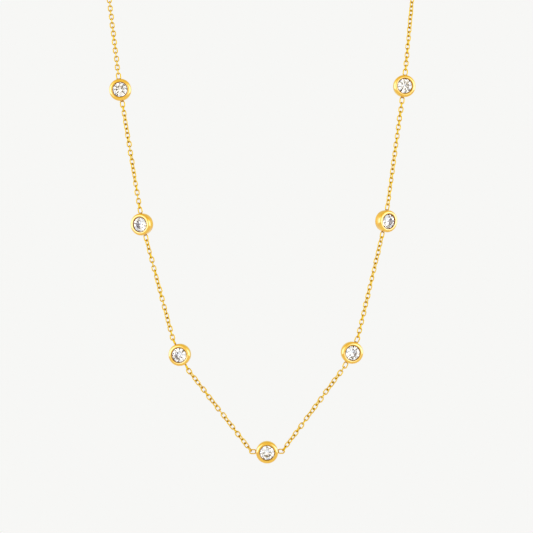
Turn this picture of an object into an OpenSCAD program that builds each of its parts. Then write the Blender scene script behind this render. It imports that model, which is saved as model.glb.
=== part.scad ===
// Station necklace: a fine cable chain that carries seven round stones in cup settings.
// It keeps the form in which it hangs round a neck. The origin is at the nape, +Z is up,
// and the stones face -Y. Left and right are as the viewer of the stones sees them.

/* [Stones] */
// Diameter of a stone at its girdle
stone_d = 3.4; // [3:0.1:4.4]
// Width of the table as a share of the stone's diameter
table_share = 0.58; // [0.52:0.01:0.64]
// Slope of the main crown facets in degrees
crown_angle = 32; // [26:1:36]
// Depth below the girdle as a share of the stone's diameter
pavilion_share = 0.42; // [0.38:0.01:0.45]
// Height of the girdle band
girdle_h = 0.1; // [0.06:0.01:0.2]

/* [Settings] */
// Thickness of the cup's wall round the stone
wall_t = 0.72; // [0.5:0.02:0.9]
// How far the rim reaches over the stone's edge
lip = 0.13; // [0.06:0.01:0.15]
// Radius of the rounded front of the rim
rim_r = 0.65; // [0.3:0.05:0.7]
// Radius of the rim's rounded edge by the stone
edge_r = 0.18; // [0.06:0.02:0.2]
// Radius of the rounded edge of the back
heel_r = 0.3; // [0.1:0.05:0.4]
// Thickness of the closed back
back_t = 0.3; // [0.15:0.05:0.5]
// How far the stone's table stands in front of the rim
table_proud = 0.06; // [0:0.02:0.16]
// Height of the soldered end links above the back
loop_rise = 0.6; // [0.4:0.05:1]
// How deep a soldered end link sits in the cup's wall
loop_sink = 0.16; // [0.1:0.02:0.24]
// How far the front setting's face tips down, in degrees
front_nod = 7; // [0:1:12]

/* [Chain] */
// Thickness of the links' wire
wire_d = 0.27; // [0.2:0.01:0.28]
// Outside width of a link
link_w = 1.18; // [1.1:0.02:1.4]
// Outside length of a link
link_l = 1.71; // [1.6:0.01:2]
// Length of the chain between two settings, from end wire to end wire
gap_l = 23.5; // [18:0.05:30]
// Length of the chain between a top setting and the part behind the neck
top_l = 17.55; // [12:0.05:24]

/* [Hang] */
// Weight of one setting and its chain, as a share of the pull at the front
hang_share = 2.65; // [1.8:0.05:3.6]
// Distance from the plane of the stones back to the nape
neck_depth = 70; // [60:1:80]
// Height of the nape above the upper ends of the front chain
nape_rise = 42; // [34:1:48]

/* [Clasp] */
// Outside diameter of the clasp's ring
clasp_d = 5.6; // [5:0.1:6.5]
// Thickness of the clasp's ring
clasp_t = 1; // [0.8:0.1:1.2]
// Outside diameter of the ring that the clasp hooks into
catch_d = 3.2; // [3:0.1:4]
// Outside diameter of the clasp's eye
eye_d = 2.4; // [2.2:0.1:3]
// Thickness of the wire of the hook-in ring and of the eye
catch_t = 0.5; // [0.4:0.05:0.6]

/* [Fits] */
// Gap between a stone and its cup
stone_clear = 0.05; // [0.03:0.01:0.06]
// Least gap between the wires of two links
link_clear = 0.1; // [0.1:0.01:0.14]
// Gap between the clasp's ring and the ring that it hooks into
clasp_clear = 0.15; // [0.1:0.01:0.2]

/* [Hidden] */
$fn = 40;

GOLD = "goldenrod";
CRYSTAL = "aliceblue";

// Columns of a setting's row: degrees that its face turns outward about the chain,
// degrees that its end links are soldered round from the plane of the face,
// and degrees that its stone is turned in the cup
FACING = 0;
LOOPS = 1;
CUT = 2;
// The front setting comes first, then the three up the side
LEFT_SETTINGS = [[0, 0, 8], [11, 90, 30], [24, 0, 16], [0, 0, 3]];
RIGHT_SETTINGS = [[0, 0, 8], [11, 0, 20], [32, 0, 38], [6, 0, 12]];

// Columns of a stretch's row: half turns of twist that the chain keeps between its ends,
// and links that it has over the least number for its length
TWIST = 0;
EXTRA = 1;
// Rows from the front upward, with the stretch above the top setting last
LEFT_STRETCHES = [[2, 0], [-1, 1], [-1, 1], [0, 1]];
RIGHT_STRETCHES = [[2, 0], [0, 1], [0, 1], [0.25, 1]];
TOP = len(LEFT_STRETCHES);

// Handles of the curve round the neck: straight on from the front chain, and level at the nape
RISE_HANDLE = 41;
NAPE_HANDLE = 42;

// Stone, whose facets repeat in each eighth of a turn
EIGHTHS = 8;
stone_r = stone_d / 2;
table_r = stone_r * table_share;
crown_h = (stone_r - table_r) * tan(crown_angle);
pavilion_h = stone_d * pavilion_share;
mid_crown_r = 0.8 * stone_r;
mid_pavilion_r = 0.22 * stone_r;

// Setting, with its local zero on the middle plane of its end links
culet_gap = stone_clear;
setting_d = stone_d + 2 * (stone_clear + wall_t);
setting_r = setting_d / 2;
back_z = -loop_rise;
culet_z = back_z + back_t + culet_gap;
girdle_z = culet_z + pavilion_h;
front_z = girdle_z + girdle_h + crown_h - table_proud;
lip_z = girdle_z + girdle_h + lip * tan(crown_angle) + 2 * stone_clear;
rim_w = wall_t + stone_clear + lip;
rim_flat = 0.04;
edge_round = min(edge_r, front_z - lip_z - rim_flat);
rim_round = min(rim_r, rim_w - edge_round - rim_flat);
well_r = 0.7 * stone_r;

// Links
bend_r = (link_w - wire_d) / 2;
straight_l = link_l - link_w;
loop_reach = setting_r - loop_sink + link_l - link_w / 2;
least_pitch = link_l - 2 * wire_d - link_clear;

// Round the neck: the tube's section keeps level with a direction that it never follows
TUBE_SIDEWAYS = [1, -1, 1];
tube_sides = 8;
tube_step = 2.5 * link_w;

// Clasp: places of its eye and of the ring that it hooks into
eye_x = (clasp_d + eye_d) / 2 - catch_t;
catch_x = clasp_d / 2 - clasp_t - clasp_clear + catch_d / 2 - catch_t;

function slope(k) = atan(hang_share * (k - 0.5));
function along(angle) = [cos(angle), sin(angle), 0];
function lean(s) = s == 0 ? 0 : (slope(s) + slope(s + 1)) / 2;
function unit(v) = v / norm(v);

// Number of links and the gap between their wires in stretch k of a side
function stretch_l(k) = k == TOP ? top_l : gap_l;
function links(k, stretches) =
    ceil((stretch_l(k) - wire_d - link_clear) / least_pitch) + stretches[k - 1][EXTRA];
function wire_gap(k, stretches) =
    let (n = links(k, stretches))
    (n * (link_l - 2 * wire_d) + wire_d - stretch_l(k)) / (n - 1);
function pitch(k, stretches) = link_l - 2 * wire_d - wire_gap(k, stretches);

// Turn of a setting's end links about the chain, and the direction square to their plane
function loop_roll(s, settings) =
    settings[s][FACING] + settings[s][LOOPS] + (s == 0 ? front_nod : 0);
function loop_normal(s, settings) =
    let (roll = loop_roll(s, settings), angle = lean(s))
    [sin(roll) * sin(angle), -sin(roll) * cos(angle), cos(roll)];

// From a setting's centre to the end wire of the link that hangs in its end link.
// The chain leaves in direction v, from the end link on the upper or lower side.
function hook(s, settings, side, v, gap) =
    let (m = loop_normal(s, settings))
    side * loop_reach * along(lean(s)) + bend_r * unit(v - (v * m) * m) - (wire_d + gap) * v;

// Centre of setting s, and the start of stretch k, both in the plane of the stones
function setting_at(s, settings, stretches) =
    s == 0 ? [0, 0, 0]
           : stretch_from(s, settings, stretches) + gap_l * along(slope(s))
             - hook(s, settings, -1, -along(slope(s)), wire_gap(s, stretches));
function stretch_from(k, settings, stretches) =
    setting_at(k - 1, settings, stretches)
    + hook(k - 1, settings, 1, along(slope(k)), wire_gap(k, stretches));

// Twist at a share of stretch k: it starts in line with the end link below,
// and ends square to or in line with the one above, as the number of links asks
function twist(share, k, settings, stretches) =
    let (n = links(k, stretches),
         start = k == 1 ? 0 : loop_roll(k - 1, settings),
         end = k == TOP ? start : loop_roll(k, settings) - 90 * ((n + 1) % 2))
    start + share * (end - start + 180 * stretches[k - 1][TWIST]);

// Places the plane of the stones in the frame of the whole necklace
function chain_top(settings, stretches) =
    stretch_from(TOP, settings, stretches) + top_l * along(slope(TOP));
nape_height = chain_top(RIGHT_SETTINGS, RIGHT_STRETCHES).y + nape_rise;
function hung(p) = [p.x, -neck_depth - p.z, p.y - nape_height];
module hang(flip = 0) {
    translate([0, -neck_depth, -nape_height])
        rotate([90, 0, 0])
            mirror([flip, 0, 0])
                children();
}

module link() {
    for (end = [0, 180])
        rotate([0, 0, end])
            translate([straight_l / 2, 0, 0])
                rotate([0, 0, -90])
                    rotate_extrude(angle = 180)
                        translate([bend_r, 0])
                            circle(d = wire_d);
    for (side = [-1, 1])
        translate([-straight_l / 2, side * bend_r, 0])
            rotate([0, 90, 0])
                cylinder(d = wire_d, h = straight_l);
}

module stretch(k, settings, stretches) {
    n = links(k, stretches);
    step = pitch(k, stretches);
    start = stretch_from(k, settings, stretches);
    for (i = [1:n])
        translate(start + ((link_l - wire_d) / 2 + (i - 1) * step) * along(slope(k)))
            rotate([0, 0, slope(k)])
                rotate([90 * (i % 2) + twist(i / (n + 1), k, settings, stretches), 0, 0])
                    link();
}

module place_setting(s, settings, stretches) {
    translate(setting_at(s, settings, stretches))
        rotate([0, 0, lean(s)])
            rotate([settings[s][FACING] + (s == 0 ? front_nod : 0), 0, 0])
                children();
}

module cup_outline() {
    translate([0, back_z + heel_r])
        square([setting_r, front_z - back_z - heel_r - rim_round]);
    translate([0, back_z])
        square([setting_r - heel_r, front_z - back_z - rim_round]);
    translate([0, back_z])
        square([setting_r - rim_round, front_z - back_z]);
    translate([setting_r - heel_r, back_z + heel_r])
        circle(r = heel_r);
    translate([setting_r - rim_round, front_z - rim_round])
        circle(r = rim_round);
}

// The room for the stone: a well under its point, a seat along its pavilion,
// a band round its girdle, the open front inside the rim and the rim's rounded edge
module stone_room() {
    seat_z = girdle_z - stone_clear;
    band_r = stone_r + stone_clear;
    polygon([[0, back_z + back_t],
             [well_r, back_z + back_t],
             [well_r, seat_z - (band_r - well_r) * pavilion_h / stone_r],
             [band_r, seat_z],
             [band_r, lip_z],
             [stone_r - lip, lip_z],
             [stone_r - lip, front_z + 1],
             [0, front_z + 1]]);
    translate([stone_r - lip, front_z - edge_round])
        difference() {
            square([edge_round, 1]);
            translate([edge_round, 0])
                circle(r = edge_round);
        }
}

module setting(loop_turn) {
    rotate_extrude()
        difference() {
            intersection() {
                cup_outline();
                translate([0, back_z])
                    square([setting_r, front_z - back_z]);
            }
            stone_room();
        }
    for (end = [-1, 1])
        translate([end * (loop_reach - straight_l / 2), 0, 0])
            rotate([loop_turn, 0, 0])
                link();
}

// A ring of points at one height of a stone
function ring_of(count, r, z, turn) =
    [for (i = [0:count - 1])
        let (a = i * 360 / count + turn) [r * cos(a), r * sin(a), z]];

// A round brilliant. The crown has a table, and a star facet, a main facet and two upper
// facets for each eighth. The pavilion has a main facet and two lower facets for each.
module brilliant(cut_turn) {
    top_z = girdle_z + girdle_h;
    half = 180 / EIGHTHS;
    mid_crown_x = mid_crown_r * cos(half);
    mid_crown_z = top_z + crown_h * (stone_r - mid_crown_x) / (stone_r - table_r);
    mid_pavilion_x = mid_pavilion_r * cos(half);
    mid_pavilion_z = girdle_z - pavilion_h * (1 - mid_pavilion_x / stone_r);
    points = concat(
        ring_of(EIGHTHS, table_r, top_z + crown_h, cut_turn),
        ring_of(EIGHTHS, mid_crown_r, mid_crown_z, cut_turn + half),
        ring_of(2 * EIGHTHS, stone_r, top_z, cut_turn),
        ring_of(2 * EIGHTHS, stone_r, girdle_z, cut_turn),
        ring_of(EIGHTHS, mid_pavilion_r, mid_pavilion_z, cut_turn + half),
        [[0, 0, girdle_z - pavilion_h]]);
    // Where each ring starts in the list of points
    table = 0;
    crown = EIGHTHS;
    top = 2 * EIGHTHS;
    low = 4 * EIGHTHS;
    pavilion = 6 * EIGHTHS;
    culet = 7 * EIGHTHS;
    last = EIGHTHS - 1;
    round = 2 * EIGHTHS;
    faces = concat(
        [[for (i = [last:-1:0]) table + i]],
        [for (i = [0:last]) [table + i, table + (i + 1) % EIGHTHS, crown + i]],
        [for (i = [0:last]) [table + i, crown + i, top + 2 * i, crown + (i + last) % EIGHTHS]],
        [for (i = [0:last]) [crown + i, top + 2 * i + 1, top + 2 * i]],
        [for (i = [0:last]) [crown + i, top + (2 * i + 2) % round, top + 2 * i + 1]],
        [for (i = [0:round - 1]) [top + i, top + (i + 1) % round, low + (i + 1) % round, low + i]],
        [for (i = [0:last]) [low + 2 * i, low + 2 * i + 1, pavilion + i]],
        [for (i = [0:last]) [low + 2 * i + 1, low + (2 * i + 2) % round, pavilion + i]],
        [for (i = [0:last]) [low + 2 * i, pavilion + i, culet, pavilion + (i + last) % EIGHTHS]]);
    polyhedron(points, faces);
}

// Route of the chain round the neck on the right: one curve from the upper end of the
// front chain to the clasp's eye or the ring that it hooks into
function route(settings, stretches, end_x) =
    let (past = wire_d / 2 + link_clear,
         start = hung(chain_top(settings, stretches) + past * along(slope(TOP))))
    [start,
     start + RISE_HANDLE * [cos(slope(TOP)), 0, sin(slope(TOP))],
     [end_x + NAPE_HANDLE, 0, 0],
     [end_x, 0, 0]];
function bezier(p, u) =
    pow(1 - u, 3) * p[0] + 3 * pow(1 - u, 2) * u * p[1] + 3 * (1 - u) * u * u * p[2]
    + pow(u, 3) * p[3];
function heading(p, u) =
    unit(pow(1 - u, 2) * (p[1] - p[0]) + 2 * (1 - u) * u * (p[2] - p[1]) + u * u * (p[3] - p[2]));
function total(list, i = 0) = i == len(list) ? 0 : list[i] + total(list, i + 1);
function route_l(p, parts = 40) =
    total([for (i = [1:parts]) norm(bezier(p, i / parts) - bezier(p, (i - 1) / parts))]);

module tube(p) {
    rings = ceil(route_l(p) / tube_step);
    points = [for (j = [0:rings])
                  let (t = heading(p, j / rings),
                       side = unit(cross(t, TUBE_SIDEWAYS)),
                       up = cross(t, side))
                  for (i = [0:tube_sides - 1])
                      bezier(p, j / rings)
                      + link_w / 2 * (cos(i * 360 / tube_sides) * side
                                      + sin(i * 360 / tube_sides) * up)];
    faces = concat(
        [[for (i = [tube_sides - 1:-1:0]) i]],
        [for (j = [0:rings - 1])
             for (i = [0:tube_sides - 1])
                 let (a = j * tube_sides, b = (j + 1) * tube_sides, n = (i + 1) % tube_sides)
                 [a + i, a + n, b + n, b + i]],
        [[for (i = [0:tube_sides - 1]) rings * tube_sides + i]]);
    polyhedron(points, faces);
}

module wire_ring(outer_d, thickness) {
    rotate_extrude()
        translate([(outer_d - thickness) / 2, 0])
            circle(d = thickness);
}

module setting_front() {
    color(GOLD)
        hang()
            place_setting(0, RIGHT_SETTINGS, RIGHT_STRETCHES)
                setting(RIGHT_SETTINGS[0][LOOPS]);
}

module setting_left(s) {
    color(GOLD)
        hang(1)
            place_setting(s, LEFT_SETTINGS, LEFT_STRETCHES)
                setting(LEFT_SETTINGS[s][LOOPS]);
}

module setting_right(s) {
    color(GOLD)
        hang()
            place_setting(s, RIGHT_SETTINGS, RIGHT_STRETCHES)
                setting(RIGHT_SETTINGS[s][LOOPS]);
}

module stone_front() {
    color(CRYSTAL)
        hang()
            place_setting(0, RIGHT_SETTINGS, RIGHT_STRETCHES)
                brilliant(RIGHT_SETTINGS[0][CUT]);
}

module stone_left(s) {
    color(CRYSTAL)
        hang(1)
            place_setting(s, LEFT_SETTINGS, LEFT_STRETCHES)
                brilliant(LEFT_SETTINGS[s][CUT]);
}

module stone_right(s) {
    color(CRYSTAL)
        hang()
            place_setting(s, RIGHT_SETTINGS, RIGHT_STRETCHES)
                brilliant(RIGHT_SETTINGS[s][CUT]);
}

module chain_left(k) {
    color(GOLD)
        hang(1)
            stretch(k, LEFT_SETTINGS, LEFT_STRETCHES);
}

module chain_right(k) {
    color(GOLD)
        hang()
            stretch(k, RIGHT_SETTINGS, RIGHT_STRETCHES);
}

module chain_left_back() {
    color(GOLD)
        mirror([1, 0, 0])
            tube(route(LEFT_SETTINGS, LEFT_STRETCHES, eye_x + eye_d / 2 + link_clear));
}

module chain_right_back() {
    color(GOLD)
        tube(route(RIGHT_SETTINGS, RIGHT_STRETCHES, catch_x + catch_d / 2 + link_clear));
}

// The clasp lies flat on the nape, with its eye to the left
module clasp() {
    color(GOLD)
        rotate([90, 0, 0]) {
            wire_ring(clasp_d, clasp_t);
            translate([-eye_x, 0, 0])
                wire_ring(eye_d, catch_t);
        }
}

// The ring that the clasp hooks into, square to it
module catch_ring() {
    color(GOLD)
        translate([catch_x, 0, 0])
            wire_ring(catch_d, catch_t);
}

setting_front();
stone_front();
for (s = [1:3]) {
    setting_left(s);
    setting_right(s);
    stone_left(s);
    stone_right(s);
    chain_left(s);
    chain_right(s);
}
chain_left(TOP);  // chain_left_top
chain_right(TOP);  // chain_right_top
chain_left_back();
chain_right_back();
clasp();
catch_ring();
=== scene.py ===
"""Looks of the station necklace: seven round stones in gold cups on a fine cable chain.

Lengths are in millimetres until a piece is placed, and repeat the named sizes of the part's source.
"""
import math

import bpy
from mathutils import Matrix, Vector


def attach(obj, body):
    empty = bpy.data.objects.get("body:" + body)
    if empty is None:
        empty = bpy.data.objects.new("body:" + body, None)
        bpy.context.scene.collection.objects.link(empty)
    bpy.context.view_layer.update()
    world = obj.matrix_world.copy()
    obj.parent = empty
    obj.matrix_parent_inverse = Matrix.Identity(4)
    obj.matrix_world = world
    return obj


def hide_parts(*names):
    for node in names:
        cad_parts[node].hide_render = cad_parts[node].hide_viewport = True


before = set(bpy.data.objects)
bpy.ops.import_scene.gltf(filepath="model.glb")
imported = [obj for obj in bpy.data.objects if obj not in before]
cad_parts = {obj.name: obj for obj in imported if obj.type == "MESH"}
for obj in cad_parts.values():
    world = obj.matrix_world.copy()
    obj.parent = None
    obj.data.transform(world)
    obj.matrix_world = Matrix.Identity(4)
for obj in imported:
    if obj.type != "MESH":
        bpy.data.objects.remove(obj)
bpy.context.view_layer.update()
MM = 0.001

# Stone and cup
STONE_R = 1.7
LIP = 0.13
STONE_CLEAR = 0.05
CUP_R = 2.47
HEEL_EDGE = 2.3
CUP_BACK = -0.6
CUP_FRONT = 1.664
BACK_T = 0.3
HEEL_R = 0.3
CREST_R = 1.93
CREST_FALL = 0.145
GIRDLE_Z = 1.178
LIP_Z = 1.459
WELL_R = 0.7 * STONE_R
SEAT_FALL = 0.84
CUP_SIDES = 96
# The wall from its foot up: how far inside the full radius, and at what height
WALL = ((0.06, -0.05), (0.02, 0.4), (0, 0.8))

# Bead of solder at the foot of an end link: half its depth, width and height
SOLDER = (0.17, 0.36, 0.2)

# Links: the end links on the cups, and those of the chain, which all but touch where they cross
WIRE_D = 0.27
LINK_W = 1.18
LINK_L = 1.71
BEND_R = (LINK_W - WIRE_D) / 2
STRAIGHT = LINK_L - LINK_W
LOOP_REACH = 3.43
LINK_GAP = 0.025
LINK_FACES = (14, 6)
BACK_STEP = 0.957
# How far the loose links lie to the side, and the degrees that they are tipped
LINK_SHIFT = 0.03
LINK_TIP = 7

# Stretches from the front upward: length, number of links, and on each side the half turns
# of twist that the chain keeps
STRETCHES = {1: (23.5, 22), 2: (23.5, 23), 3: (23.5, 23), 4: (17.55, 18)}
TWISTS = {"left": (2, -1, -1, 0), "right": (2, 0, 0, 0.25)}
TOP = 4

# Hang: how each side falls from the front, and where the nape is
HANG_SHARE = 2.65
NECK_DEPTH = 70
NAPE_RISE = 42
RISE_HANDLE = 41
NAPE_HANDLE = 42
ROUTE_STEPS = 400

# Settings from the front upward: degrees that the face turns outward about the chain,
# and degrees that the end links are soldered round
SETTINGS = {
    "left": ((0, 0), (11, 90), (24, 0), (0, 0)),
    "right": ((0, 0), (11, 0), (32, 0), (6, 0)),
}
FRONT_NOD = 7
# Where the last link behind the neck ends: in the clasp's eye, and in the ring that it hooks into
NAPE_ENDS = {"left": -4.055, "right": 3.705}
NAPE_TUBE = {"left": -4.8, "right": 4.45}
TUBE_CLEAR = 0.1


def slope(stretch):
    return math.atan(HANG_SHARE * (stretch - 0.5))


def lean(place):
    return (slope(place) + slope(place + 1)) / 2 if place else 0


def along(angle):
    return Vector((math.cos(angle), math.sin(angle), 0))


def loop_roll(side, place):
    facing, loops = SETTINGS[side][place]
    return facing + loops + (FRONT_NOD if place == 0 else 0)


def wire_gap(stretch):
    """Gap between the CAD links' wires in a stretch."""
    length, count = STRETCHES[stretch]
    return (count * (LINK_L - 2 * WIRE_D) + WIRE_D - length) / (count - 1)


def hook(side, place, way, leaving, gap):
    """From a setting's centre to the end wire of the link that hangs in its end link."""
    roll, angle = math.radians(loop_roll(side, place)), lean(place)
    square = Vector(
        (math.sin(roll) * math.sin(angle), -math.sin(roll) * math.cos(angle), math.cos(roll))
    )
    flat = leaving - leaving.dot(square) * square
    return (
        way * LOOP_REACH * along(lean(place))
        + BEND_R * flat.normalized()
        - (WIRE_D + gap) * leaving
    )


def setting_at(side, place):
    """Centre of a setting in the plane of the stones, outward and up from the front one."""
    if place == 0:
        return Vector((0, 0, 0))
    leaving = along(slope(place))
    length = STRETCHES[place][0]
    end = stretch_from(side, place) + length * leaving
    return end - hook(side, place, -1, -leaving, wire_gap(place))


def stretch_from(side, stretch):
    """Start of a stretch, at the end wire of its lowest link."""
    place = stretch - 1
    leaving = along(slope(stretch))
    return setting_at(side, place) + hook(side, place, 1, leaving, wire_gap(stretch))


def twist(side, stretch, share):
    """Degrees that the chain is twisted at a share of the stretch."""
    count = STRETCHES[stretch][1]
    start = 0 if stretch == 1 else loop_roll(side, stretch - 1)
    end = start if stretch == TOP else loop_roll(side, stretch) - 90 * ((count + 1) % 2)
    return start + share * (end - start + 180 * TWISTS[side][stretch - 1])


def chain_top(side):
    return stretch_from(side, TOP) + STRETCHES[TOP][0] * along(slope(TOP))


NAPE_HEIGHT = chain_top("right").y + NAPE_RISE


# Modelling helpers
def deselect():
    if bpy.context.mode != "OBJECT":
        bpy.ops.object.mode_set(mode="OBJECT")
    bpy.ops.object.select_all(action="DESELECT")


def pick_points(piece, test):
    """Selects the points of the piece in edit mode that pass the test."""
    bpy.ops.object.mode_set(mode="OBJECT")
    for part in (piece.data.polygons, piece.data.edges):
        for item in part:
            item.select = False
    for point in piece.data.vertices:
        point.select = test(point.co)
    bpy.ops.object.mode_set(mode="EDIT")
    bpy.ops.mesh.select_mode(type="VERT")


def pick_ring(piece, radius, height):
    """Selects the ring of edges at that radius and height."""
    bpy.ops.object.mode_set(mode="OBJECT")
    points = piece.data.vertices
    for part in (piece.data.polygons, points):
        for item in part:
            item.select = False
    for edge in piece.data.edges:
        edge.select = all(
            abs(points[v].co.z - height) < 1e-3
            and abs(points[v].co.xy.length - radius) < 1e-3
            for v in edge.vertices
        )
    bpy.ops.object.mode_set(mode="EDIT")
    bpy.ops.mesh.select_mode(type="EDGE")


def finish_mesh(piece, angle):
    """Closes the mesh, turns its faces outward and smooths all but its sharp edges."""
    deselect()
    bpy.context.view_layer.objects.active = piece
    piece.select_set(True)
    bpy.ops.object.mode_set(mode="EDIT")
    bpy.ops.mesh.select_all(action="SELECT")
    bpy.ops.mesh.remove_doubles(threshold=1e-4)
    bpy.ops.mesh.normals_make_consistent(inside=False)
    bpy.ops.object.mode_set(mode="OBJECT")
    bpy.ops.object.shade_smooth_by_angle(angle=math.radians(angle))


def copy_to(matrix, piece, name):
    """A copy of the piece with its own mesh, set in the frame of the whole necklace."""
    copy = piece.copy()
    copy.data = piece.data.copy()
    copy.name = copy.data.name = name
    copy.data.transform(matrix)
    bpy.context.collection.objects.link(copy)
    return copy


def join(pieces, name):
    deselect()
    for piece in pieces:
        piece.select_set(True)
    bpy.context.view_layer.objects.active = pieces[0]
    bpy.ops.object.join()
    whole = bpy.context.object
    whole.name = whole.data.name = name
    return whole


def discard(piece):
    bpy.data.objects.remove(piece)


# Cup with its end links
def cup():
    """Turned from one ring: the closed back, the wall, the rim, the lip and the seat inside."""
    deselect()
    bpy.ops.mesh.primitive_circle_add(
        vertices=CUP_SIDES, radius=HEEL_EDGE, fill_type="NGON", location=(0, 0, 0)
    )
    piece = bpy.context.object
    bpy.ops.object.mode_set(mode="EDIT")
    bpy.ops.transform.translate(value=(0, 0, CUP_BACK))
    band_r = STONE_R + STONE_CLEAR
    mouth_r = STONE_R - LIP
    bead = [math.radians(a) for a in range(0, 91, 15)]
    inner = [
        (CREST_R - (CREST_R - mouth_r) * math.sin(a), CUP_FRONT - CREST_FALL * (1 - math.cos(a)))
        for a in bead
    ]
    turns = [
        *((CUP_R - inset, height) for inset, height in WALL),
        (CUP_R, CUP_FRONT),
        *inner,
        (mouth_r, LIP_Z),
        (band_r, LIP_Z),
        (band_r, GIRDLE_Z - STONE_CLEAR),
        (WELL_R, GIRDLE_Z - STONE_CLEAR - SEAT_FALL * (band_r - WELL_R)),
        (WELL_R, CUP_BACK + BACK_T),
    ]
    r, z = HEEL_EDGE, CUP_BACK
    pick_ring(piece, r, z)
    for next_r, next_z in turns:
        bpy.ops.mesh.extrude_region_move(TRANSFORM_OT_translate={"value": (0, 0, next_z - z)})
        bpy.ops.transform.resize(value=(next_r / r, next_r / r, 1), center_override=(0, 0, 0))
        r, z = next_r, next_z
    bpy.ops.mesh.edge_face_add()
    for r, z, width, steps in (
        (HEEL_EDGE, CUP_BACK, HEEL_R, 6),
        (CUP_R, CUP_FRONT, CUP_R - CREST_R - 0.01, 12),
    ):
        pick_ring(piece, r, z)
        bpy.ops.mesh.bevel(offset=width, segments=steps, affect="EDGES")
    finish_mesh(piece, 35)
    return piece


def mark_near(piece, spots, near, far):
    """Notes on the piece's points how close each lies to the nearest spot, as the strength of the
    shade painted there.
    """
    painted_shade = piece.data.attributes.new("painted_shade", "FLOAT", "POINT")
    for point, value in zip(piece.data.vertices, painted_shade.data):
        gap = min((point.co - Vector(spot)).length for spot in spots)
        value.value = max(0, min(1, (far - gap) / (far - near)))


def link(name, length, major, minor):
    """A ring of wire, pulled out into a link that lies along X with its face to Z."""
    deselect()
    bpy.ops.mesh.primitive_torus_add(
        major_segments=major, minor_segments=minor, major_radius=BEND_R, minor_radius=WIRE_D / 2
    )
    piece = bpy.context.object
    piece.name = piece.data.name = name
    bpy.ops.object.mode_set(mode="EDIT")
    for side in (-1, 1):
        pick_points(piece, lambda co: co.x * side > 0)
        bpy.ops.transform.translate(value=(side * (length - LINK_W) / 2, 0, 0))
    finish_mesh(piece, 80)
    ends = [(side * (length / 2 - WIRE_D), 0, 0) for side in (-1, 1)]
    # Painted shade at the link's ends, where the next links cross it
    mark_near(piece, ends, near=0.14, far=0.42)
    return piece


def solder_bead():
    """The small pool of solder that joins an end link to the cup's wall."""
    deselect()
    bpy.ops.mesh.primitive_uv_sphere_add(segments=20, ring_count=10, radius=1)
    piece = bpy.context.object
    bpy.ops.object.mode_set(mode="EDIT")
    bpy.ops.transform.resize(value=SOLDER, center_override=(0, 0, 0))
    pick_points(piece, lambda co: co.x > 0.1)
    bpy.ops.transform.resize(value=(1, 0.7, 0.8), center_override=(0, 0, 0))
    finish_mesh(piece, 80)
    return piece


def unite(piece, others):
    """Fuses the others into the piece, as the solder does, and discards them."""
    for other in others:
        union = piece.modifiers.new("union", "BOOLEAN")
        union.operation = "UNION"
        union.solver = "EXACT"
        union.object = other
        deselect()
        bpy.context.view_layer.objects.active = piece
        piece.select_set(True)
        bpy.ops.object.modifier_apply(modifier=union.name)
        discard(other)
    return piece


# Shade inside the rim: the height from which it shows, its width past the rim's mouth and how
# soon it fades. Shade round the solder: its strength, how far it reaches and how soon it fades
RIM_SHADE_Z = 1.2
RIM_REACH = 0.25
RIM_FADE = 0.15
JOINT_SHADE = 0.6
JOINT_REACH = 0.55
JOINT_FADE = 0.25


def mark_finish(piece):
    """Where the look of a setting changes. Shade is painted inside the rim by the stone, round the
    solder and where the chain hooks in. The inside of the cup is rough, uncoated and painted pale,
    a painted light where little light reaches, and the end links have the finish and the darker,
    shaded colour of the chain's wire."""
    for name in ("cast", "wire"):
        piece.data.attributes.new(name, "FLOAT", "POINT")
    marks = [piece.data.attributes[name].data for name in ("painted_shade", "cast", "wire")]
    for point, painted_shade, cast, wire in zip(piece.data.vertices, *marks):
        r = point.co.xy.length
        in_rim = point.co.z > RIM_SHADE_Z
        rim = (STONE_R - LIP + RIM_REACH - r) / RIM_FADE if in_rim else 0
        joint = min((point.co - Vector((side * CUP_R, 0, 0))).length for side in (-1, 1))
        # The end links, which take the chain's darker, shaded gold
        wire.value = r > CUP_R + 0.05
        # Inside the cup: rough and uncoated, and painted pale as painted light where little light
        # reaches
        cast.value = r < STONE_R + 0.06 and CUP_BACK + 0.05 < point.co.z < RIM_SHADE_Z
        hooked = painted_shade.value if wire.value else 0
        soldered = JOINT_SHADE * min(1, (JOINT_REACH - joint) / JOINT_FADE)
        # Painted shade: the strongest of the hooked ends, the rim and the solder
        painted_shade.value = max(hooked, min(1, rim), soldered)


def setting(loops):
    """A cup with an end link and its solder on each side, the links turned by loops degrees."""
    body = cup()
    ring = link("end link", LINK_L, 32, 12)
    bead = solder_bead()
    turn = Matrix.Rotation(math.radians(loops), 4, "X")
    extras = []
    for side in (0, 180):
        facing = Matrix.Rotation(math.radians(side), 4, "Z")
        reach = Matrix.Translation((LOOP_REACH - STRAIGHT / 2, 0, 0))
        foot = Matrix.Translation((CUP_R + 0.03, 0, 0))
        extras.append(copy_to(turn @ facing @ reach, ring, "ring"))
        extras.append(copy_to(turn @ facing @ foot, bead, "bead"))
    discard(ring)
    discard(bead)
    unite(body, extras)
    finish_mesh(body, 40)
    mark_finish(body)
    return body


HANG = (
    Matrix.Scale(MM, 4)
    @ Matrix.Translation((0, -NECK_DEPTH, -NAPE_HEIGHT))
    @ Matrix.Rotation(math.radians(90), 4, "X")
)


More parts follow.
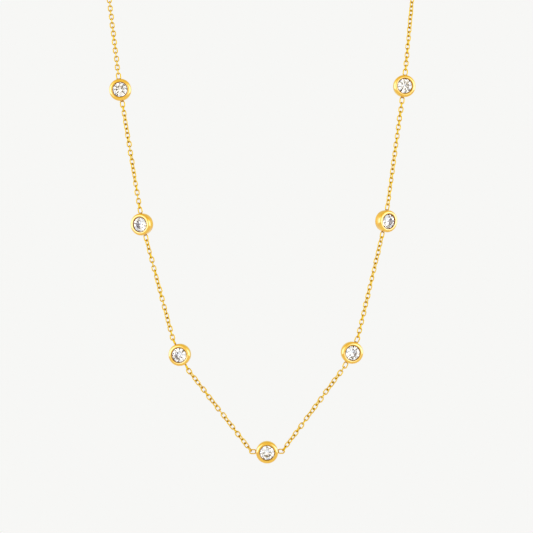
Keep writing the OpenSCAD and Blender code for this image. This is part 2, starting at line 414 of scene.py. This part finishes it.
def settings():
    """All seven settings, each in the place of its CAD node."""
    made = []
    models = {loops: setting(loops) for loops in (0, 90)}
    for side, number in [("right", 0)] + [(s, n) for s in SETTINGS for n in (1, 2, 3)]:
        facing, loops = SETTINGS[side][number]
        out = -1 if side == "left" else 1
        centre = setting_at(side, number)
        name = "%s_%d" % (side, number) if number else "front"
        matrix = (
            HANG
            @ Matrix.Translation((out * centre.x, centre.y, centre.z))
            @ Matrix.Rotation(out * lean(number), 4, "Z")
            @ Matrix.Rotation(math.radians(facing if number else FRONT_NOD), 4, "X")
        )
        piece = copy_to(matrix, models[loops], "cup_" + name)
        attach(piece, "root")
        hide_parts("setting_" + name)
        made.append(piece)
    for model in models.values():
        discard(model)
    return made


# Chain
def true_length(step):
    """Length of a link that just clears the next one at that step."""
    return step + 2 * WIRE_D + LINK_GAP


def front_links(side, stretch):
    """A stretch of the front chain, hooked into the end links below and above."""
    length, count = STRETCHES[stretch]
    leaving = along(slope(stretch))
    slack = wire_gap(stretch) - LINK_GAP
    first = stretch_from(side, stretch) + slack * leaving
    length -= slack * (1 if stretch == TOP else 2)
    step = (length - WIRE_D) / count
    out = -1 if side == "left" else 1
    beside = along(slope(stretch) + math.radians(90))
    model = link("link", true_length(step), *LINK_FACES)
    links = []
    for number in range(1, count + 1):
        reach = (step + WIRE_D) / 2 + (number - 1) * step
        # The links lie a little unevenly, but for the end ones, which the cups hold
        loose = min(1, number - 1, count - number)
        shift = loose * LINK_SHIFT * math.sin(1.9 * number + 2 * stretch + out)
        tip = loose * LINK_TIP * math.sin(2.6 * number + stretch + out)
        centre = first + reach * leaving + shift * beside
        roll = 90 * (number % 2) + twist(side, stretch, number / (count + 1)) + tip
        matrix = (
            HANG
            @ Matrix.Translation((out * centre.x, centre.y, centre.z))
            @ Matrix.Rotation(out * slope(stretch), 4, "Z")
            @ Matrix.Rotation(math.radians(roll), 4, "X")
        )
        links.append(copy_to(matrix, model, "link"))
    discard(model)
    name = "%s_%s" % (side, "top" if stretch == TOP else stretch)
    chain = join(links, "links_" + name)
    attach(chain, "root")
    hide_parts("chain_" + name)
    return chain


def route(side):
    """Points from the last link of the front chain to the clasp, with a link's end at the end."""
    out = -1 if side == "left" else 1
    end_x, high, deep = chain_top(side)
    top = Vector((out * end_x, -NECK_DEPTH - deep, high - NAPE_HEIGHT))
    up = Vector((out * math.cos(slope(TOP)), 0, math.sin(slope(TOP))))
    start = top + up * (WIRE_D / 2 + TUBE_CLEAR)
    end = Vector((NAPE_TUBE[side], 0, 0))
    knots = [start, start + RISE_HANDLE * up, end + Vector((out * NAPE_HANDLE, 0, 0)), end]
    points = [top - up * WIRE_D]
    for step in range(ROUTE_STEPS + 1):
        u = step / ROUTE_STEPS
        points.append(
            (1 - u) ** 3 * knots[0]
            + 3 * (1 - u) ** 2 * u * knots[1]
            + 3 * (1 - u) * u * u * knots[2]
            + u**3 * knots[3]
        )
    points.append(Vector((NAPE_ENDS[side], 0, 0)))
    return points


def back_links(side):
    """Links along the route, each hooked through the last, from the front chain to the clasp."""
    points = route(side)
    lengths = [(b - a).length for a, b in zip(points, points[1:])]
    whole = sum(lengths)
    count = round((whole - WIRE_D) / BACK_STEP)
    step = (whole - WIRE_D) / count
    across = Vector((0, -1, 0))
    passed, segment, rows = 0, 0, []
    for number in range(count):
        reach = (step + WIRE_D) / 2 + number * step
        while segment < len(lengths) - 1 and passed + lengths[segment] < reach:
            passed += lengths[segment]
            segment += 1
        heading = (points[segment + 1] - points[segment]).normalized()
        centre = points[segment] + heading * (reach - passed)
        across = (across - heading * across.dot(heading)).normalized()
        rows.append((centre, heading, across.copy()))
    # The first link lies square to the last of the front chain, and the last one square to what
    # it hooks: the eye stands up, the other ring lies flat
    first = 90 + twist(side, TOP, STRETCHES[TOP][1] / (STRETCHES[TOP][1] + 1))
    first = -math.radians(first) if side == "left" else math.radians(first)
    wanted = Vector((0, 0, 1)) if side == "left" else Vector((0, 1, 0))
    centre, heading, across = rows[-1]
    beside = heading.cross(across)
    last = math.atan2(wanted.dot(beside), wanted.dot(across)) - math.radians(90) * (count - 1)
    last = first + (last - first + math.pi / 2) % math.pi - math.pi / 2
    model = link("link", true_length(step), *LINK_FACES)
    links = []
    for number, (centre, heading, across) in enumerate(rows):
        roll = math.radians(90) * (number % 2) + first + (last - first) * number / (count - 1)
        normal = Matrix.Rotation(roll, 3, heading) @ across
        turn = Matrix((heading, normal.cross(heading), normal)).transposed().to_4x4()
        matrix = Matrix.Scale(MM, 4) @ Matrix.Translation(centre) @ turn
        links.append(copy_to(matrix, model, "link"))
    discard(model)
    chain = join(links, "back_links_" + side)
    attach(chain, "root")
    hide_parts("chain_%s_back" % side)
    return chain


# Materials
def group_tree(name, inputs, outputs):
    """A shader node group with named sockets; inputs are (name, kind, value)."""
    tree = bpy.data.node_groups.new(name, "ShaderNodeTree")
    for label, kind, value in inputs:
        socket = tree.interface.new_socket(label, in_out="INPUT", socket_type="NodeSocket" + kind)
        if value is not None:
            socket.default_value = value
    for label, kind in outputs:
        tree.interface.new_socket(label, in_out="OUTPUT", socket_type="NodeSocket" + kind)
    return tree, tree.nodes.new("NodeGroupInput"), tree.nodes.new("NodeGroupOutput")


def feed(tree, value, socket):
    """Gives a socket its value, which is a plain one or another node's socket."""
    if isinstance(value, bpy.types.NodeSocket):
        tree.links.new(value, socket)
    else:
        socket.default_value = value


def math_node(tree, operation, *values):
    node = tree.nodes.new("ShaderNodeMath")
    node.operation = operation
    for socket, value in zip(node.inputs, values):
        feed(tree, value, socket)
    return node.outputs[0]


def noise(tree, vector, scale, detail, rough=0.5):
    node = tree.nodes.new("ShaderNodeTexNoise")
    node.inputs["Detail"].default_value = detail
    node.inputs["Roughness"].default_value = rough
    tree.links.new(vector, node.inputs["Vector"])
    feed(tree, scale, node.inputs["Scale"])
    return node.outputs["Fac"]


def spread(tree, value, low, high, to_low, to_high, smooth=False):
    """Maps a value from one range to another; each end is a number or a socket."""
    node = tree.nodes.new("ShaderNodeMapRange")
    if smooth:
        node.interpolation_type = "SMOOTHSTEP"
    ends = {"From Min": low, "From Max": high, "To Min": to_low, "To Max": to_high}
    for label, end in ends.items():
        feed(tree, end, node.inputs[label])
    tree.links.new(value, node.inputs["Value"])
    return node.outputs["Result"]


def blend(tree, share, colour, other):
    """Mixes two colours by a share. A Mix node's colours are its inputs 6 and 7 and output 2."""
    node = tree.nodes.new("ShaderNodeMix")
    node.data_type = "RGBA"
    tree.links.new(share, node.inputs["Factor"])
    feed(tree, colour, node.inputs[6])
    feed(tree, other, node.inputs[7])
    return node.outputs[2]


def stretched(tree, vector, scale):
    """The vector scaled by axis, so that a noise drawn on it becomes fine lines."""
    node = tree.nodes.new("ShaderNodeMapping")
    node.inputs["Scale"].default_value = scale
    tree.links.new(vector, node.inputs["Vector"])
    return node.outputs["Vector"]


def polish_group():
    """Plated and polished metal: cloudy tone, uneven polish and fine rubbing marks, with painted
    shade in the crevices, a painted pale light inside the cup and the chain's darker, shaded gold
    on the end links.
    """
    tree, given, result = group_tree(
        "polish",
        [
            ("Vector", "Vector", None),
            ("Bright", "Color", (1, 1, 1, 1)),
            ("Deep", "Color", (0.5, 0.5, 0.5, 1)),
            ("Cloud Scale", "Float", 900.0),
            ("Mark Scale", "Float", 4000.0),
            ("Smooth", "Float", 0.08),
            ("Worn", "Float", 0.2),
            ("Painted_Shade", "Float", 0.0),
            ("Cast", "Float", 0.0),
            # Colour of the painted shade in crevices and where parts meet
            ("Painted Shade Color", "Color", (0.3, 0.12, 0.02, 1)),
            # Pale colour painted inside the cup, a painted light where little light reaches
            ("Painted Light Color", "Color", (1, 0.86, 0.55, 1)),
            ("Wire", "Float", 0.0),
            # The chain's darker gold, painted shade, put on the end links
            ("Shaded Wire Color", "Color", (0.84, 0.51, 0.015, 1)),
        ],
        [("Color", "Color"), ("Roughness", "Float"), ("Height", "Float")],
    )
    at = given.outputs
    cloud = noise(tree, at["Vector"], at["Cloud Scale"], 3)
    marks = noise(tree, stretched(tree, at["Vector"], (1, 1, 0.12)), at["Mark Scale"], 2, 0.6)
    cross = noise(tree, stretched(tree, at["Vector"], (0.12, 1, 1)), at["Mark Scale"], 2, 0.6)
    tone = spread(tree, cloud, 0.35, 0.65, 0, 1)
    colour = blend(tree, tone, at["Deep"], at["Bright"])
    # End links take the chain's darker gold, which is painted shade
    colour = blend(tree, at["Wire"], colour, at["Shaded Wire Color"])
    # Painted shade in crevices and where parts meet
    colour = blend(tree, at["Painted_Shade"], colour, at["Painted Shade Color"])
    # Painted pale light on the cup's inside
    tree.links.new(blend(tree, at["Cast"], colour, at["Painted Light Color"]), result.inputs["Color"])
    both = math_node(tree, "MAXIMUM", marks, cross)
    rough = spread(tree, both, 0.5, 0.8, at["Smooth"], at["Worn"])
    rough = spread(tree, at["Wire"], 0, 1, rough, 0.45)
    tree.links.new(spread(tree, at["Cast"], 0, 1, rough, 0.6), result.inputs["Roughness"])
    tree.links.new(both, result.inputs["Height"])
    return tree


def shader(name):
    material = bpy.data.materials.new(name)
    material.use_nodes = True
    tree = material.node_tree
    return material, tree, tree.nodes["Principled BSDF"]


def object_vector(tree):
    return tree.nodes.new("ShaderNodeTexCoord").outputs["Object"]


def bump(tree, height, distance, strength, bsdf):
    node = tree.nodes.new("ShaderNodeBump")
    node.inputs["Distance"].default_value = distance
    node.inputs["Strength"].default_value = strength
    tree.links.new(height, node.inputs["Height"])
    tree.links.new(node.outputs["Normal"], bsdf.inputs["Normal"])


POLISH = polish_group()


def gold(name, values, coat):
    """Gilt metal with a clear coat, which is left off where shade is painted, inside the cup and on
    the end links.
    """
    material, tree, bsdf = shader(name)
    bsdf.inputs["Metallic"].default_value = 1
    bsdf.inputs["Specular Tint"].default_value = (1, 0.85, 0.5, 1)
    bsdf.inputs["Coat Roughness"].default_value = 0.12
    bsdf.inputs["Coat IOR"].default_value = 1.7
    polish = tree.nodes.new("ShaderNodeGroup")
    polish.node_tree = POLISH
    for label, value in values.items():
        polish.inputs[label].default_value = value
    tree.links.new(object_vector(tree), polish.inputs["Vector"])
    tree.links.new(polish.outputs["Color"], bsdf.inputs["Base Color"])
    tree.links.new(polish.outputs["Roughness"], bsdf.inputs["Roughness"])
    marks = []
    # Masks of the painted shade, the painted light inside the cup and the end links
    for mark in ("painted_shade", "cast", "wire"):
        node = tree.nodes.new("ShaderNodeAttribute")
        node.attribute_name = mark
        marks.append(node.outputs["Fac"])
        tree.links.new(marks[-1], polish.inputs[mark.title()])
    bare = math_node(tree, "MAXIMUM", math_node(tree, "MAXIMUM", *marks[:2]), marks[2])
    tree.links.new(spread(tree, bare, 0, 1, coat, 0), bsdf.inputs["Coat Weight"])
    bump(tree, polish.outputs["Height"], 2e-6, 0.6, bsdf)
    return material


def crystal(name):
    """Clear cut stone, with the least unevenness that polishing leaves on its facets."""
    material, tree, bsdf = shader(name)
    bsdf.inputs["Metallic"].default_value = 0
    bsdf.inputs["Transmission Weight"].default_value = 1
    bsdf.inputs["IOR"].default_value = 2.15
    bsdf.inputs["Specular Tint"].default_value = (1, 0.68, 0.28, 1)
    vector = object_vector(tree)
    haze = noise(tree, vector, 1500.0, 2)
    tree.links.new(spread(tree, haze, 0.45, 0.75, 0.0, 0.012), bsdf.inputs["Roughness"])
    water = blend(tree, noise(tree, vector, 400.0, 1), (0.97, 0.975, 0.98, 1), (1, 1, 1, 1))
    tree.links.new(water, bsdf.inputs["Base Color"])
    return material


def dress(piece, material):
    """Puts the material in every slot of the piece, or adds one."""
    if not piece.material_slots:
        piece.data.materials.append(material)
    for slot in piece.material_slots:
        slot.material = material


# Studio. The camera: how far right of the middle, before the stones and below the nape it stands,
# and the degrees that it leans
CAMERA_X = 0.44
CAMERA_AWAY = 447.3
CAMERA_Z = -102.69
CAMERA_LEAN = 0.78
FLOOR_R = 1.8
FLOOR_Z = -0.5


def camera():
    data = bpy.data.cameras.new("camera")
    data.lens = 135
    data.sensor_width = 36
    seat = bpy.data.objects.new("camera", data)
    seat.location = (CAMERA_X * MM, (-NECK_DEPTH - CAMERA_AWAY) * MM, CAMERA_Z * MM)
    seat.rotation_euler = (math.radians(90), math.radians(CAMERA_LEAN), 0)
    bpy.context.collection.objects.link(seat)
    bpy.context.scene.camera = seat


def window_lamp(name, seat):
    """A round soft lamp at that seat, aimed at the middle of the stones."""
    data = bpy.data.lights.new(name, "AREA")
    data.shape = "DISK"
    data.size = 0.35
    data.energy = 0.15
    lamp = bpy.data.objects.new(name, data)
    lamp.location = seat
    lamp.rotation_mode = "QUATERNION"
    lamp.rotation_quaternion = (Vector((0, -0.07, -0.1)) - lamp.location).to_track_quat("-Z", "Y")
    bpy.context.collection.objects.link(lamp)


# Light of the tent from the camera's side round to behind the necklace: (share of the way,
# level for the metal, level for the stones)
TENT = [
    (0.0, 0.9, 0.6),
    (0.004, 0.9, 1.0),
    (0.02, 1.0, 1.2),
    (0.10, 1.05, 1.7),
    (0.30, 1.1, 2.0),
    (0.45, 1.1, 1.5),
    (0.60, 1.05, 1.05),
    (0.80, 1.0, 1.05),
    (0.90, 0.85, 1.05),
    (1.0, 0.8, 1.05),
]


def background(tree, strength, colour):
    node = tree.nodes.new("ShaderNodeBackground")
    node.inputs["Color"].default_value = colour
    feed(tree, strength, node.inputs["Strength"])
    return node.outputs[0]


def either(tree, choice, no, yes):
    """One of two shaders, by what kind of ray asks."""
    node = tree.nodes.new("ShaderNodeMixShader")
    tree.links.new(choice, node.inputs["Fac"])
    tree.links.new(no, node.inputs[1])
    tree.links.new(yes, node.inputs[2])
    return node.outputs[0]


def surround():
    """Pale to the eye, a soft tent with a window each side to the metal, and to the stones a
    tent whose seams and openings give them their dark facets."""
    world = bpy.data.worlds.new("tent")
    bpy.context.scene.world = world
    world.use_nodes = True
    tree = world.node_tree
    seen = tree.nodes["Background"]
    seen.inputs["Color"].default_value = (0.93, 0.93, 0.915, 1)
    coords = tree.nodes.new("ShaderNodeTexCoord").outputs["Generated"]
    parts = tree.nodes.new("ShaderNodeSeparateXYZ")
    tree.links.new(coords, parts.inputs[0])
    levels = []
    for column in (1, 2):
        ramp = tree.nodes.new("ShaderNodeValToRGB")
        tree.links.new(spread(tree, parts.outputs["Y"], -1, 1, 0, 1), ramp.inputs["Fac"])
        while len(ramp.color_ramp.elements) < len(TENT):
            ramp.color_ramp.elements.new(0.5)
        for element, row in zip(ramp.color_ramp.elements, TENT):
            level = row[column] / 3
            element.position = row[0]
            element.color = (level, level, level, 1)
        levels.append(ramp.outputs["Color"])
    across = math_node(tree, "ABSOLUTE", parts.outputs["X"])
    high = math_node(tree, "ABSOLUTE", parts.outputs["Z"])
    dim = spread(tree, high, 0.3, 0.9, 3, 2.3)
    tent = background(tree, math_node(tree, "MULTIPLY", levels[0], dim), (1.04, 0.98, 0.55, 1))
    beside = spread(tree, across, 0.15, 0.45, 0, 1, smooth=True)
    before = spread(tree, parts.outputs["Y"], 0.1, 0.6, 1, 0, smooth=True)
    abreast = spread(tree, high, 0.15, 0.6, 1, 0, smooth=True)
    pane = math_node(tree, "MULTIPLY", math_node(tree, "MULTIPLY", beside, before), abreast)
    window = background(tree, pane, (0.5, 1.1, 5.0, 1))
    metal = tree.nodes.new("ShaderNodeAddShader")
    tree.links.new(tent, metal.inputs[0])
    tree.links.new(window, metal.inputs[1])
    seams = spread(tree, noise(tree, coords, 2.7, 2), 0.44, 0.465, 0.02, 3.5)
    stone = background(tree, math_node(tree, "MULTIPLY", levels[1], seams), (1.04, 0.935, 0.8, 1))
    plain = background(tree, 0.97, (1, 1, 1, 1))
    rays = tree.nodes.new("ShaderNodeLightPath")
    solid = either(tree, rays.outputs["Is Diffuse Ray"], metal.outputs[0], plain)
    lit = either(tree, rays.outputs["Is Transmission Ray"], solid, stone)
    whole = either(tree, rays.outputs["Is Camera Ray"], lit, seen.outputs[0])
    tree.links.new(whole, tree.nodes["World Output"].inputs["Surface"])


def floor():
    deselect()
    bpy.ops.mesh.primitive_circle_add(
        vertices=128, radius=FLOOR_R, fill_type="NGON", location=(0, 0, 0)
    )
    piece = bpy.context.object
    piece.name = piece.data.name = "floor"
    piece.data.transform(Matrix.Translation((0, 0, FLOOR_Z)))
    material, tree, bsdf = shader("floor")
    bsdf.inputs["Roughness"].default_value = 0.8
    bsdf.inputs["Specular IOR Level"].default_value = 0
    cloud = noise(tree, object_vector(tree), 12.0, 2)
    paper = blend(tree, cloud, (0.9, 0.885, 0.765, 1), (0.92, 0.905, 0.785, 1))
    tree.links.new(paper, bsdf.inputs["Base Color"])
    dress(piece, material)


# The whole necklace
camera()
surround()
floor()
window_lamp("left window", (-0.5, -0.5, 0.25))
window_lamp("right window", (0.5, -0.45, 0.2))
bpy.context.scene.view_settings.view_transform = "Standard"

cup_gold = gold(
    "cup gold",
    {
        "Bright": (0.95, 0.57, 0.05, 1),
        "Deep": (0.9, 0.49, 0.02, 1),
        # Colour of the painted shade in crevices
        "Painted Shade Color": (0.2, 0.055, 0.002, 1),
        "Cloud Scale": 700.0,
        "Mark Scale": 5000.0,
        "Smooth": 0.13,
        "Worn": 0.26,
    },
    coat=1,
)
# The chain's gold is a darker copy of the cup gold, painted shade for the dim light on its thin
# wires; its finish is rougher and thinly coated
shaded_link_gold = gold(
    "shaded link gold",
    {
        "Bright": (0.88, 0.56, 0.02, 1),
        "Deep": (0.79, 0.46, 0.01, 1),
        # Colour of the painted shade where the wires cross
        "Painted Shade Color": (0.42, 0.17, 0.005, 1),
        "Cloud Scale": 1600.0,
        "Mark Scale": 9000.0,
        "Smooth": 0.42,
        "Worn": 0.55,
    },
    coat=0.1,
)
stone_crystal = crystal("stone crystal")

for piece in settings():
    dress(piece, cup_gold)
for side in ("left", "right"):
    for stretch in STRETCHES:
        dress(front_links(side, stretch), shaded_link_gold)
    dress(back_links(side), shaded_link_gold)
for name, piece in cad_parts.items():
    if name.startswith("stone"):
        dress(piece, stone_crystal)
    elif name in ("clasp", "catch_ring"):
        dress(piece, cup_gold)

deselect()
